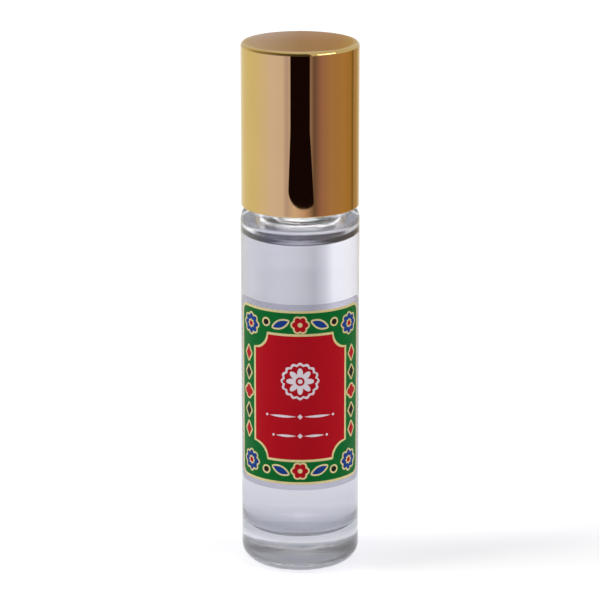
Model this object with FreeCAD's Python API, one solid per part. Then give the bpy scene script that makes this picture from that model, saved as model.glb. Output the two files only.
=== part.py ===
"""Roll-on fragrance oil bottle: glass, fill, label, roller fitment and screw cap, in millimetres with +Z up.

The bottle stands on z = 0 with its axis on Z, and its label faces -Y.
Radii follow from the ball outwards: socket, plug, neck, thread, liner, shell, body.
"""
import FreeCAD
import Part
import math
import os
from FreeCAD import Vector

# Ball and the housing that holds it
BALL_DIAMETER = 10.0
BALL_CLEARANCE = 0.08
BALL_RISE = 1.2            # ball centre above the neck's rim
SOCKET_WALL = 0.6
LIP_HOLD = 0.4             # how far the lip closes in over the ball
LIP_WIDTH = 0.6
COLLAR_WALL = 1.1          # housing wall round the ball, at the foot of the collar
FEED_HOLE_DIAMETER = 6.0
SEAT_FLOOR = 1.0           # floor under the ball's seat
SKIRT_WALL = 0.8
PLUG_DEPTH = 6.5
PLUG_CLEARANCE = 0.12      # gap between plug and bore, bridged by the sealing ribs
PLUG_CHAMFER = 0.5
RIB_CLEARANCE = 0.02
RIB_HEIGHT = 0.6           # along the axis
RIB_COUNT = 2
RIB_PITCH = 1.6
FLANGE_THICKNESS = 1.2
FLANGE_INSET = 0.3         # flange edge inside the neck's outside
FLANGE_ROUND = 0.3

# Glass
BODY_HEIGHT = 62.1         # foot to the top of the shoulder
BODY_WALL = 2.05
BODY_STEP = 0.12           # body proud of the cap, on the radius
BASE_THICKNESS = 5.8
FLOOR_ROUND = 3.0
HEEL_ROUND = 2.6
FOOT_RING = 1.4            # width of the flat ring that it stands on
PUSH_UP = 0.5              # rise of the hollow under the base
SHOULDER_ROUND = 2.0
SHOULDER_WALL = 1.7
NECK_HEIGHT = 9.6          # shoulder to rim
NECK_WALL = 1.58
NECK_FILLET = 0.6
THROAT_ROUND = 0.8         # inside edge where the bore opens into the body
RIM_ROUND = 0.3

# Screw thread, the same ridge on the glass and in the cap
THREAD_LEAD = 3.0
THREAD_HEIGHT = 0.75
THREAD_BASE = 1.6
THREAD_CREST = 0.7
THREAD_ROOT = 0.3          # depth to which a ridge is sunk in its wall
THREAD_END_STEP = 0.05     # round ends stand in from the ridge by this
THREAD_START = 2.2         # shoulder to the first ridge
NECK_TURNS = 1.5
CAP_TURNS = 1.25
CAP_THREAD_LAG = 0.5       # turns by which the cap's ridge starts after the neck's
CREST_CLEARANCE = 0.25
FLANK_CLEARANCE = 0.05

# Cap
CAP_GAP = 0.3              # shoulder to the cap's rim
LINER_RECESS = 0.4         # liner above the shell's rim
LINER_WALL = 1.0
LINER_MOUTH = 0.3          # chamfer at the liner's mouth
LINER_HEADROOM = 0.6       # liner web above the housing's lip
LINER_WEB = 1.0
CROWN_HEIGHT = 9.1         # hollow crown above the pad's pocket
CROWN_RIBS = 4
CROWN_RIB_WIDTH = 0.8
SHELL_CLEARANCE = 0.05
SHELL_WALL = 0.45
SHELL_TOP = 0.5
SHELL_EDGE = 0.45          # round on the top edge
SHELL_RIM_ROUND = 0.2

# Sealing pad
PAD_OVERHANG = 0.2         # pad's edge outside the ball's
PAD_CLEARANCE = 0.15       # dimple to ball
PAD_THICKNESS = 1.2        # above the dimple
PAD_DIMPLE = 0.7
PAD_PLAY = 0.1             # along the axis
PAD_SIDE_PLAY = 0.15
PAD_BEAD = 0.45            # how far the bead closes in under the pad

# Fill
HEADSPACE = 4.5            # shoulder to the oil's surface
OIL_GAP = 0.05

# Label
LABEL_WIDTH = 27.0         # round the bottle
LABEL_HEIGHT = 32.4
LABEL_CORNER = 1.6
LABEL_FILM = 0.08
LABEL_GLUE = 0.02
LABEL_FACING = 1.5 * math.pi   # towards -Y
CORNER_STEPS = 12
OFFSET_TOLERANCE = 1e-4

AXIS = Vector(0, 0, 1)
ORIGIN = Vector(0, 0, 0)
FULL_TURN = 360.0

# Radii, from the ball outwards
ball_r = BALL_DIAMETER / 2
socket_r = ball_r + BALL_CLEARANCE
plug_r = socket_r + SOCKET_WALL
bore_r = plug_r + PLUG_CLEARANCE
neck_r = bore_r + NECK_WALL
thread_r = neck_r + THREAD_HEIGHT
liner_bore_r = thread_r + CREST_CLEARANCE
liner_r = liner_bore_r + LINER_WALL
shell_bore_r = liner_r + SHELL_CLEARANCE
shell_r = shell_bore_r + SHELL_WALL
body_r = shell_r + BODY_STEP
cavity_r = body_r - BODY_WALL
lip_r = ball_r - LIP_HOLD
feed_r = FEED_HOLE_DIAMETER / 2
pad_r = ball_r + PAD_OVERHANG
pocket_r = pad_r + PAD_SIDE_PLAY
label_r = body_r + LABEL_GLUE

# Heights, from the foot upwards
rim_z = BODY_HEIGHT + NECK_HEIGHT
ball_z = rim_z + BALL_RISE
lip_z = ball_z + math.sqrt(socket_r ** 2 - lip_r ** 2)
seat_z = ball_z - math.sqrt(socket_r ** 2 - feed_r ** 2)
thread_z = BODY_HEIGHT + THREAD_START
cap_z = BODY_HEIGHT + CAP_GAP
liner_z = cap_z + LINER_RECESS
web_z = lip_z + LINER_HEADROOM
dimple_z = ball_z + ball_r + PAD_CLEARANCE
pad_z = dimple_z - PAD_DIMPLE
pad_top = dimple_z + PAD_THICKNESS
pocket_z = pad_top + PAD_PLAY
pocket_top = pocket_z + LINER_WEB
liner_top = pocket_top + CROWN_HEIGHT
shell_z = liner_top + SHELL_CLEARANCE
oil_z = BODY_HEIGHT - HEADSPACE
label_z = (HEEL_ROUND + BODY_HEIGHT - SHOULDER_ROUND - LABEL_HEIGHT) / 2


def point(radius, height):
    """A point of a turned profile."""
    return Vector(radius, 0, height)


def on_circle(radius, height, size, degrees):
    """A point on a circle of the given size round (radius, height)."""
    turn = math.radians(degrees)
    return point(radius + size * math.cos(turn), height + size * math.sin(turn))


def lathe(start, *steps):
    """Turns a profile round the axis. A step is a point, or a (through, end) pair for an arc."""
    edges = []
    here = start
    for step in steps + (start,):
        if isinstance(step, tuple):
            through, end = step
            edges.append(Part.Arc(here, through, end).toShape())
        else:
            end = step
            edges.append(Part.LineSegment(here, end).toShape())
        here = end
    return Part.Face(Part.Wire(edges)).revolve(ORIGIN, AXIS, FULL_TURN)


def dome_middle(radius, top, height):
    """The point halfway round a dome that rises from z = top - height at its rim to top on the axis."""
    size = (radius ** 2 + height ** 2) / (2 * height)
    half = math.asin(radius / size) / 2
    return point(size * math.sin(half), top - size * (1 - math.cos(half)))


def ridge_section(wall_r, sign, inset):
    """Root and crest radii and half-widths of a screw ridge, drawn in by inset. Its root is sunk in the wall."""
    slope = (THREAD_BASE - THREAD_CREST) / (2 * THREAD_HEIGHT)
    root = point(wall_r - sign * (THREAD_ROOT - inset), THREAD_BASE / 2 + slope * THREAD_ROOT - inset)
    crest = point(wall_r + sign * (THREAD_HEIGHT - inset), THREAD_CREST / 2 - inset)
    return root, crest


def ridge(wall_r, sign, start_z, start_turn, turns):
    """A screw ridge with round ends on a wall of radius wall_r. It stands outwards for sign 1, inwards for -1."""
    root, crest = ridge_section(wall_r, sign, 0)
    section = Part.makePolygon([root, crest, point(crest.x, -crest.z), point(root.x, -root.z), root])
    helix = Part.makeHelix(THREAD_LEAD, THREAD_LEAD * turns, wall_r)
    body = Part.Wire(helix.Edges).makePipeShell([section], True, True)
    root, crest = ridge_section(wall_r, sign, THREAD_END_STEP)
    half = Part.Face(Part.makePolygon([point(root.x, 0), point(crest.x, 0), crest, root, point(root.x, 0)]))
    first = half.revolve(ORIGIN, Vector(1, 0, 0), FULL_TURN)
    last = first.copy()
    last.rotate(ORIGIN, AXIS, FULL_TURN * turns)
    last.translate(Vector(0, 0, THREAD_LEAD * turns))
    whole = body.fuse([first, last])
    whole.rotate(ORIGIN, AXIS, FULL_TURN * start_turn)
    whole.translate(Vector(0, 0, start_z + THREAD_LEAD * start_turn))
    return whole


def cavity(inset):
    """The space inside the glass up to the top of its straight wall, drawn in by inset on all sides."""
    radius = cavity_r - inset
    floor = BASE_THICKNESS + inset
    corner = FLOOR_ROUND - inset
    top = BODY_HEIGHT - SHOULDER_WALL - inset
    throat = bore_r + THROAT_ROUND
    vault = radius - throat
    return lathe(point(0, floor), point(radius - corner, floor),
                 (on_circle(radius - corner, floor + corner, corner, -45), point(radius, floor + corner)),
                 point(radius, top - vault),
                 (on_circle(throat, top - vault, vault, 45), point(throat, top)), point(0, top))


def bore():
    """The neck's bore, flared where it opens into the body."""
    ceiling = BODY_HEIGHT - SHOULDER_WALL
    flare = bore_r + THROAT_ROUND
    return lathe(point(0, ceiling), point(flare, ceiling),
                 (on_circle(flare, ceiling + THROAT_ROUND, THROAT_ROUND, 225),
                  point(bore_r, ceiling + THROAT_ROUND)),
                 point(bore_r, rim_z), point(0, rim_z))


def glass_bottle():
    """Moulded glass: foot ring, push-up, heel, shoulder and threaded neck round one cavity."""
    foot_r = body_r - HEEL_ROUND
    push_r = foot_r - FOOT_RING
    shoulder_z = BODY_HEIGHT - SHOULDER_ROUND
    outside = lathe(
        point(0, PUSH_UP),
        (dome_middle(push_r, PUSH_UP, PUSH_UP), point(push_r, 0)), point(foot_r, 0),
        (on_circle(foot_r, HEEL_ROUND, HEEL_ROUND, -45), point(body_r, HEEL_ROUND)),
        point(body_r, shoulder_z),
        (on_circle(body_r - SHOULDER_ROUND, shoulder_z, SHOULDER_ROUND, 45),
         point(body_r - SHOULDER_ROUND, BODY_HEIGHT)),
        point(neck_r + NECK_FILLET, BODY_HEIGHT),
        (on_circle(neck_r + NECK_FILLET, BODY_HEIGHT + NECK_FILLET, NECK_FILLET, 225),
         point(neck_r, BODY_HEIGHT + NECK_FILLET)),
        point(neck_r, rim_z - RIM_ROUND),
        (on_circle(neck_r - RIM_ROUND, rim_z - RIM_ROUND, RIM_ROUND, 45), point(neck_r - RIM_ROUND, rim_z)),
        point(0, rim_z))
    blank = outside.cut(cavity(0).fuse(bore()))
    return blank.fuse(ridge(neck_r, 1, thread_z, 0, NECK_TURNS))


def fragrance_oil():
    """The fill, level below the shoulder."""
    below = Part.makeCylinder(body_r, oil_z)
    return cavity(OIL_GAP).common(below)


def front_label():
    """Film with round corners on the front of the glass, halfway up its straight side."""
    sheet = Part.Cylinder()
    sheet.Radius = label_r
    reach = (LABEL_WIDTH / 2 - LABEL_CORNER) / label_r
    left, right = LABEL_FACING - reach, LABEL_FACING + reach
    low, high = label_z + LABEL_CORNER, label_z + LABEL_HEIGHT - LABEL_CORNER
    outline = []
    for turn, (angle, height) in enumerate(((right, low), (right, high), (left, high), (left, low))):
        outline += corner_points(angle, height, turn - 1)
    edges = [Part.Geom2d.Line2dSegment(first, second).toShape(sheet)
             for first, second in zip(outline, outline[1:] + outline[:1])]
    return Part.Face(sheet, Part.Wire(edges)).makeOffsetShape(LABEL_FILM, OFFSET_TOLERANCE, fill=True)


def corner_points(angle, height, quarter):
    """Points round one corner of the film, as angles and heights on the glass."""
    points = []
    for step in range(CORNER_STEPS + 1):
        turn = math.pi / 2 * (quarter + step / CORNER_STEPS)
        points.append(FreeCAD.Base.Vector2d(angle + LABEL_CORNER / label_r * math.cos(turn),
                                            height + LABEL_CORNER * math.sin(turn)))
    return points


def roller_housing():
    """Plug with sealing ribs, a flange on the rim, a collar and the ball's socket over its feed hole."""
    foot_z = rim_z - PLUG_DEPTH
    skirt_r = plug_r - SKIRT_WALL
    rib_r = bore_r - RIB_CLEARANCE
    flange_r = neck_r - FLANGE_INSET
    flange_top = rim_z + FLANGE_THICKNESS
    outside = [point(plug_r - PLUG_CHAMFER, foot_z), point(plug_r, foot_z + PLUG_CHAMFER)]
    for index in range(RIB_COUNT):
        middle = foot_z + RIB_PITCH * (index + 1)
        outside.append(point(plug_r, middle - RIB_HEIGHT / 2))
        outside.append((point(rib_r, middle), point(plug_r, middle + RIB_HEIGHT / 2)))
    outside += [
        point(plug_r, rim_z), point(flange_r, rim_z), point(flange_r, flange_top - FLANGE_ROUND),
        (on_circle(flange_r - FLANGE_ROUND, flange_top - FLANGE_ROUND, FLANGE_ROUND, 45),
         point(flange_r - FLANGE_ROUND, flange_top)),
        point(socket_r + COLLAR_WALL, flange_top),
        point(lip_r + LIP_WIDTH, lip_z), point(lip_r, lip_z)]
    socket = (point(socket_r, ball_z), point(feed_r, seat_z))
    inside = [point(feed_r, seat_z - SEAT_FLOOR), point(skirt_r, seat_z - SEAT_FLOOR)]
    return lathe(point(skirt_r, foot_z), *outside, socket, *inside)


def roller_ball():
    """The rolling ball."""
    return Part.makeSphere(ball_r, point(0, ball_z))


def cap_shell():
    """Drawn cup, with a round top edge and a rolled rim."""
    top = shell_z + SHELL_TOP
    return lathe(
        point(shell_bore_r, cap_z), point(shell_r - SHELL_RIM_ROUND, cap_z),
        (on_circle(shell_r - SHELL_RIM_ROUND, cap_z + SHELL_RIM_ROUND, SHELL_RIM_ROUND, -45),
         point(shell_r, cap_z + SHELL_RIM_ROUND)),
        point(shell_r, top - SHELL_EDGE),
        (on_circle(shell_r - SHELL_EDGE, top - SHELL_EDGE, SHELL_EDGE, 45), point(shell_r - SHELL_EDGE, top)),
        point(0, top), point(0, shell_z), point(shell_bore_r, shell_z))


def cap_liner():
    """Inner cap: a tube that fills the shell, a web with the pad's pocket, crown ribs and the thread."""
    web_top = web_z + LINER_WEB
    cup_r = pocket_r + LINER_WEB
    bead_r = pad_r - PAD_BEAD
    bead_z = pad_z - PAD_PLAY
    liner = lathe(
        point(liner_bore_r + LINER_MOUTH, liner_z), point(liner_r, liner_z), point(liner_r, liner_top),
        point(liner_bore_r, liner_top), point(liner_bore_r, web_top), point(cup_r, web_top),
        point(cup_r, pocket_top), point(0, pocket_top), point(0, pocket_z), point(pocket_r, pocket_z),
        point(pocket_r, bead_z), point(bead_r, bead_z), point(bead_r, web_z), point(liner_bore_r, web_z),
        point(liner_bore_r, liner_z + LINER_MOUTH))
    rib_start = pocket_r + LINER_WEB / 2
    rib_end = liner_bore_r + LINER_WALL / 2
    ribs = []
    for index in range(CROWN_RIBS):
        rib = Part.makeBox(rib_end - rib_start, CROWN_RIB_WIDTH, pocket_top - web_z - LINER_WEB / 2,
                           Vector(rib_start, -CROWN_RIB_WIDTH / 2, web_z + LINER_WEB / 2))
        rib.rotate(ORIGIN, AXIS, FULL_TURN * index / CROWN_RIBS)
        ribs.append(rib)
    drop = (THREAD_BASE + THREAD_CREST) / 2 + FLANK_CLEARANCE
    thread = ridge(liner_bore_r, -1, thread_z - drop, CAP_THREAD_LAG, CAP_TURNS)
    return liner.fuse(ribs + [thread])


def cap_pad():
    """Soft disc with a dimple that meets the ball."""
    dimple = dimple_z - ball_z
    rise = pad_z - ball_z
    half = math.degrees(math.acos(rise / dimple)) / 2
    return lathe(point(0, dimple_z),
                 (on_circle(0, ball_z, dimple, FULL_TURN / 4 - half),
                  point(math.sqrt(dimple ** 2 - rise ** 2), pad_z)),
                 point(pad_r, pad_z), point(pad_r, pad_top), point(0, pad_top))


PIECES = (glass_bottle, fragrance_oil, front_label, roller_housing, roller_ball, cap_shell, cap_liner, cap_pad)

os.makedirs("parts", exist_ok=True)
for piece in PIECES:
    shape = piece()
    shape.exportStep("parts/" + piece.__name__ + ".step")
    box = shape.BoundBox
    print(piece.__name__, len(shape.Solids), "solid", "valid" if shape.isValid() else "NOT VALID",
          round(shape.Volume, 2), "mm3", [round(value, 2) for value in (box.XMin, box.YMin, box.ZMin,
                                                                      box.XMax, box.YMax, box.ZMax)])
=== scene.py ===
"""Looks of a roll-on fragrance bottle: glass, oil, gold cap, printed label, roller and a white studio.

Everything is in metres in the frame of the packed model, with +Z up and the label towards -Y.
"""
import math

import bpy
import numpy as np
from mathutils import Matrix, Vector


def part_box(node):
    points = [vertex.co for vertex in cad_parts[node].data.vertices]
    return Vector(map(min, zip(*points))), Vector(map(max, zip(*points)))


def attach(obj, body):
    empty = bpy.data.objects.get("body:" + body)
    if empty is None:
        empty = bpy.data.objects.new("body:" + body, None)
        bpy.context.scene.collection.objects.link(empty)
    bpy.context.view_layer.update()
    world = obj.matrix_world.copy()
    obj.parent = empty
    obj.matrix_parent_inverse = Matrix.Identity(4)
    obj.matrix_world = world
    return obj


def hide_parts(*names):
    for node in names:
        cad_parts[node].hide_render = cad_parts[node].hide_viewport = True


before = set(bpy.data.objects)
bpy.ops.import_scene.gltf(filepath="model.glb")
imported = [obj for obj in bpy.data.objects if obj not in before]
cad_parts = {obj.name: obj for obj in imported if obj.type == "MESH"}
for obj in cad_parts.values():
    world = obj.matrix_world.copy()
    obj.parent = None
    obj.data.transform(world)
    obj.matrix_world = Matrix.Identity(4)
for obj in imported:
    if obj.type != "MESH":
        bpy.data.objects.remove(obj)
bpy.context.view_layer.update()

bl_info = {
    "name": "Roll-on bottle",
    "version": (1, 0, 0),
    "blender": (4, 5, 0),
    "location": "3D View > Sidebar > Bottle",
    "description": "Builds the looks of a roll-on fragrance bottle around its packed model",
    "category": "Object",
}

MM = 0.001
LOW = {node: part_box(node)[0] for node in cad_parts}
HIGH = {node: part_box(node)[1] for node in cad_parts}

# Clearances of the packed model that its boxes don't show
CAP_GAP = 0.3 * MM           # shoulder to the cap's rim
FLANGE_INSET = 0.3 * MM      # housing's flange inside the neck
BORE_OVER_BALL = 0.8 * MM    # neck's bore outside the ball
OIL_GAP = 0.05 * MM          # packed oil to the glass
SHELL_GAP = 0.05 * MM        # shell to the liner

# Fineness of the meshes
GLASS_COLUMNS = 192
CAP_COLUMNS = 256
ARC_STEPS = 14
MENISCUS_STEPS = 70
MENISCUS_END = 0.015         # share of the climb at which the oil's surface counts as flat
OUTLINE_POINTS = 96          # of an ornament as it is drawn
FILM_GRID = 30, 288          # rows and columns of the film and of large printed shapes
PRINT_GRID = 4, 72           # rows and columns of small printed shapes
LARGE_PRINT = 8 * MM         # size from which a printed shape is large
THREAD_STEP = 0.11 * MM      # between rings on the neck
SUPPORT = 0.04 * MM          # from a round to the next ring on a straight run
SHARP_ANGLE = math.radians(38)

# Values between which most of a noise pattern lies
NOISE_SPAN = {"From Min": 0.3, "From Max": 0.7}

# Roughness of the glass, and pairs of distances between which it comes or goes
STIPPLE = 0.4                        # on the foot
STIPPLE_RISE = 0.5 * MM, 2.8 * MM    # up from the foot
MIST = 0.2                           # inside, over the fill
MIST_DEPTH = 0.15 * MM, 0.35 * MM    # out from the cavity's wall
MIST_FOOT = 5.6 * MM, 3.6 * MM       # its lower end, down from the top of the shoulder
MIST_HEAD = 0.6 * MM, 0.1 * MM       # its upper end, likewise

# Shares of light that go straight through a clear surface to the matt ones behind it
GLASS_SHADE = 0.88
FILM_SHADE = 0.95, 0.95, 0.96

# Print
GOLD_RIM = 0.7               # line round an ornament, as a share of the gold edge
SCOOP_GROWTH = 0.41          # gold line in a hollow corner, as a share of the gold edge
SIDE_STEP = 3.35 * MM        # between ornaments down a side
CORNER_INSET = 0.75 * MM     # corner rosettes, in from the border's middle lines
LEAF_OFFSET = 3.35 * MM      # leaves, from the label's middle
LEAF_TILT = 24               # degrees
DOT_OFFSET = 6.0 * MM        # dots, from the label's middle
DOT_LIFT = 0.15 * MM         # dots, out from the border's middle line
MEDALLION_RISE = 3.0 * MM
DIVIDERS = (3.2 * MM, 4.6 * MM), (6.6 * MM, 3.4 * MM)    # drop of each, and length of its leaves

# Floor and studio cards, in metres and degrees, with 0 in front and 90 to the right
FLOOR_REACH = 6.0
FLOOR_HEIGHT = -0.1 * MM
CARD_HEIGHT = -0.05 * MM     # cards on the floor
DARK_HEIGHT = -0.02 * MM     # black card, on top of them
# Black card: its faint own light paints the dark strip that the cap mirrors
DARK_NEAR = 0.2645           # radius of the black card's near end
DARK_LENGTH = 1.2
DARK_MIDDLE = 6.0
DARK_GLOW = 0.011, 0.004, 0.004
# Depth of the round, then the radii and azimuths between which the edge narrows, on the left and on the right
DARK_EDGES = ((0.02, (0.282, 0.352), (-22.5, -18.6)), (0.006, (0.269, 0.352), (26.4, 18.6)))
BACK_DISTANCE = 1.3
ARCH_RADIUS = 1.4
ARCH_TINT = 0.955, 0.985, 1.12
FRONT_RADIUS = 1.5
FRONT_TINT = 1.0, 0.9, 0.75
BRONZE = 0.42                # level of the front card's band, a painted reflection that the cap's top mirrors from behind

# Stops of the cards' own light, which paints reflections and shade in cap and glass, in linear red, green and
# blue
REFLECTION_RING_BY_AZIMUTH = (
    (-180, 1.0, 1.0, 0.95), (-131, 0.98, 0.97, 0.79), (-108, 0.99, 1.0, 0.9), (-84, 1.0, 0.985, 1.1),
    (-56, 0.98, 0.94, 1.5), (-34, 0.95, 0.9, 1.45), (-26, 0.7, 0.62, 1.1), (-10, 0.95, 0.85, 1.2),
    (8, 0.8, 0.6, 0.8), (27, 0.2, 0.14, 0.17), (41, 0.474, 0.265, 0.339), (62, 0.564, 0.352, 0.27),
    (93, 0.6, 0.366, 0.197), (116, 0.517, 0.32, 0.114), (119, 0.3, 0.19, 0.08), (123, 0.3, 0.19, 0.08),
    (126, 0.55, 0.38, 0.2), (141, 0.59, 0.427, 0.24), (165, 0.95, 0.9, 0.8), (180, 1.0, 1.0, 0.95))
BACK_ACROSS = (
    (-0.3, 0.8, 0.76, 0.7), (-0.05, 0.64, 0.56, 0.44), (-0.035, 0.57, 0.47, 0.41),
    (-0.013, 0.49, 0.37, 0.28), (0.0, 0.455, 0.31, 0.21), (0.026, 0.475, 0.315, 0.19),
    (0.037, 0.515, 0.345, 0.18), (0.044, 0.565, 0.42, 0.19), (0.05, 0.64, 0.53, 0.35),
    (0.3, 0.8, 0.76, 0.7))
BACK_UPWARDS = ((0.27, 1.15, 1.25, 1.6), (0.34, 1.0, 1.0, 1.0), (0.42, 1.05, 1.04, 0.95))
GREY_BY_AZIMUTH = (
    (0, 0.72, 0.72, 0.74), (90, 0.62, 0.62, 0.64), (150, 0.64, 0.65, 0.67), (172, 0.68, 0.69, 0.71),
    (181, 0.62, 0.63, 0.65), (188, 0.54, 0.55, 0.58), (194, 0.72, 0.73, 0.76), (201, 1.14, 1.15, 1.17),
    (238, 1.18, 1.18, 1.18), (270, 0.7, 0.7, 0.72), (360, 0.72, 0.72, 0.74))
GREY_OUTWARDS = (
    (0, 0.3, 0.31, 0.345), (12 * MM, 0.46, 0.475, 0.525), (16 * MM, 0.54, 0.555, 0.61),
    (20 * MM, 0.6, 0.61, 0.67), (25 * MM, 0.67, 0.68, 0.73), (30 * MM, 0.72, 0.725, 0.77),
    (40 * MM, 0.78, 0.78, 0.81))

# Softboxes: name, azimuth, elevation, distance, width, height, power in watts, and whether metal mirrors them
LAMPS = (("left_softbox", -82, 36, 2.0, 0.8, 0.8, 32.0, False),
         ("right_softbox", 84, 34, 2.0, 1.4, 1.4, 14.0, False),
         ("glint_softbox", 56, 30, 1.6, 1.0, 0.4, 8.0, True),
         ("back_softbox", 176, 32, 2.0, 1.2, 1.2, 16.0, False))
NECK_LIGHT_HEIGHT = 60.5 * MM
NECK_LIGHT_POWER = 0.014
NECK_LIGHT_SIZE = 2 * MM


def linear(code):
    """Linear colour of an sRGB hex code such as "#D1B171"."""
    parts = [int(code[start:start + 2], 16) / 255 for start in (1, 3, 5)]
    return [part / 12.92 if part <= 0.04045 else ((part + 0.055) / 1.055) ** 2.4 for part in parts]


def length(name, description, default):
    """A length for the panel, in metres."""
    return bpy.props.FloatProperty(name=name, description=description, default=default, min=0.0,
                                   precision=5, unit="LENGTH", subtype="DISTANCE")


def colour(name, description, code):
    """A colour for the panel, from an sRGB hex code."""
    return bpy.props.FloatVectorProperty(name=name, description=description, default=linear(code),
                                         size=3, min=0.0, max=1.0, subtype="COLOR")


class GlassSizes(bpy.types.PropertyGroup):
    """Sizes of the moulded glass."""
    body_radius: length("Body radius", "Outside of the straight side", HIGH["glass_bottle"].x)
    body_height: length("Body height", "Foot to the top of the shoulder", LOW["cap_shell"].z - CAP_GAP)
    rim_height: length("Rim height", "Foot to the neck's rim", HIGH["glass_bottle"].z)
    neck_radius: length("Neck radius", "Outside of the neck", HIGH["roller_housing"].x + FLANGE_INSET)
    bore_radius: length("Bore radius", "Inside of the neck", HIGH["roller_ball"].x + BORE_OVER_BALL)
    cavity_radius: length("Cavity radius", "Inside of the straight side", HIGH["fragrance_oil"].x + OIL_GAP)
    floor_height: length("Floor height", "Foot to the inside floor", LOW["fragrance_oil"].z - OIL_GAP)
    floor_round: length("Floor round", "Round between inside floor and wall", 3.0 * MM)
    heel_round: length("Heel round", "Round between foot and side", 2.6 * MM)
    foot_ring: length("Foot ring", "Width of the flat ring that it stands on", 1.4 * MM)
    push_up: length("Push-up", "Rise of the hollow under the base", 0.5 * MM)
    shoulder_round: length("Shoulder round", "Round between side and shoulder", 2.0 * MM)
    shoulder_wall: length("Shoulder wall", "Glass above the cavity", 1.7 * MM)
    throat_round: length("Throat round", "Round where the bore opens into the cavity", 0.8 * MM)
    neck_fillet: length("Neck fillet", "Hollow round between shoulder and neck", 0.6 * MM)
    rim_round: length("Rim round", "Rounds on the neck's rim", 0.3 * MM)
    thread_start: length("Thread start", "Shoulder to the first ridge", 2.2 * MM)
    thread_lead: length("Thread lead", "Climb of the ridge in one turn", 3.0 * MM)
    thread_height: length("Thread height", "Ridge above the neck", 0.75 * MM)
    thread_base: length("Thread base", "Width of the ridge at its foot", 1.6 * MM)
    thread_crest: length("Thread crest", "Width of the ridge at its top", 0.7 * MM)
    thread_turns: bpy.props.FloatProperty(name="Thread turns", description="Turns of the ridge", default=1.5)


class OilSizes(bpy.types.PropertyGroup):
    """Sizes of the fill and of its curved edge."""
    level: length("Level", "Foot to the flat of the surface", HIGH["fragrance_oil"].z - 1.2 * MM)
    rise: length("Meniscus rise", "Climb of the surface at the glass", 2.3 * MM)
    overlap: length("Overlap", "Oil into glass, so that light bends once between them", 0.04 * MM)


class CapSizes(bpy.types.PropertyGroup):
    """Sizes of the drawn shell."""
    radius: length("Radius", "Outside of the shell", HIGH["cap_shell"].x)
    bottom: length("Bottom", "Height of the rim", LOW["cap_shell"].z)
    top: length("Top", "Height of the crown", HIGH["cap_shell"].z)
    bore: length("Bore", "Inside radius", HIGH["cap_liner"].x + SHELL_GAP)
    ceiling: length("Ceiling", "Height of the inside", HIGH["cap_liner"].z + SHELL_GAP)
    crown: length("Crown", "Rise of the top towards its middle", 0.12 * MM)
    edge_round: length("Edge round", "Round on the top edge", 0.6 * MM)
    rim_round: length("Rim round", "Round on the lower edge", 0.15 * MM)


class LabelSizes(bpy.types.PropertyGroup):
    """Sizes of the film and of its print, measured round the bottle."""
    radius: length("Radius", "Outside of the film", -LOW["front_label"].y)
    middle: length("Middle", "Height of the label's middle",
                   (LOW["front_label"].z + HIGH["front_label"].z) / 2)
    film: length("Film", "Thickness of the film", 0.08 * MM)
    width: length("Film width", "Width of the film", 27.0 * MM)
    height: length("Film height", "Height of the film", HIGH["front_label"].z - LOW["front_label"].z)
    corner: length("Film corner", "Round of the film's corners", 1.6 * MM)
    margin: length("Margin", "Clear film round the print", 1.0 * MM)
    gold_edge: length("Gold edge", "Width of the gold line round panel and field", 0.42 * MM)
    field_width: length("Field width", "Width of the red field", 16.6 * MM)
    field_height: length("Field height", "Height of the red field", 21.6 * MM)
    field_scoop: length("Field scoop", "Radius of the field's hollow corners", 2.7 * MM)
    ink: length("Ink", "Thickness of a printed layer", 0.010 * MM)
    ink_step: length("Ink step", "Height from one printed layer to the next", 0.012 * MM)


class Colours(bpy.types.PropertyGroup):
    """Colours of the finishes."""
    glass: colour("Glass", "Tint of the glass", "#FAFAFD")
    oil: colour("Oil", "Tint of the oil", "#F6F6F9")
    gold: colour("Gold", "Anodised cap", "#CFB06E")
    film: colour("Film", "Clear film of the label", "#DFDEE7")
    gold_ink: colour("Gold ink", "Lines of the label", "#D1C389")
    green_ink: colour("Green ink", "Panel of the label", "#015B24")
    red_ink: colour("Red ink", "Field and ornaments", "#9F0415")
    blue_ink: colour("Blue ink", "Ornaments", "#10357A")
    black_ink: colour("Black ink", "Ornaments", "#1E1812")
    pale_ink: colour("Pale ink", "Ornaments in the field", "#CFC6CE")
    white_ink: colour("White ink", "Underprint, seen from behind", "#EDECE8")
    polyethylene: colour("Polyethylene", "Roller housing", "#E4E6E2")
    steel: colour("Steel", "Roller ball", "#C9CACC")
    polypropylene: colour("Polypropylene", "Inner cap", "#E9E7E0")
    foam: colour("Foam", "Sealing pad", "#F0F0EC")
    floor: colour("Floor", "Studio floor", "#E7E7E7")


class StageSizes(bpy.types.PropertyGroup):
    """Camera and light of the studio."""
    distance: length("Camera distance", "Camera to the point that it looks at", 520.0 * MM)
    aim_height: length("Aim height", "Height that the camera looks at", 45.63 * MM)
    aim_side: bpy.props.FloatProperty(name="Aim side", description="Sideways place that the camera looks at",
                                      default=-0.02 * MM, precision=5, unit="LENGTH", subtype="DISTANCE")
    elevation: bpy.props.FloatProperty(name="Elevation", description="Camera above the horizon",
                                       default=math.radians(15.77), subtype="ANGLE")
    lens: bpy.props.FloatProperty(name="Lens", description="Focal length in millimetres", default=184.54)
    ambient: bpy.props.FloatProperty(name="Ambient", description="World light on the object", default=0.35)
    floor_lift: bpy.props.FloatProperty(name="Floor lift", default=0.12,
                                        description="Own light of the floor for camera, metal and glass")


GROUPS = {"bottle_glass": GlassSizes, "bottle_oil": OilSizes, "bottle_cap": CapSizes,
          "bottle_label": LabelSizes, "bottle_colours": Colours, "bottle_stage": StageSizes}


# Shapes

def arc(across, up, radius, start, end):
    """Points of a profile on a circle: (across + radius cos a, up + radius sin a), with a in degrees."""
    angle = np.radians(np.linspace(start, end, ARC_STEPS))
    return np.column_stack([across + radius * np.cos(angle), up + radius * np.sin(angle)])


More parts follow.
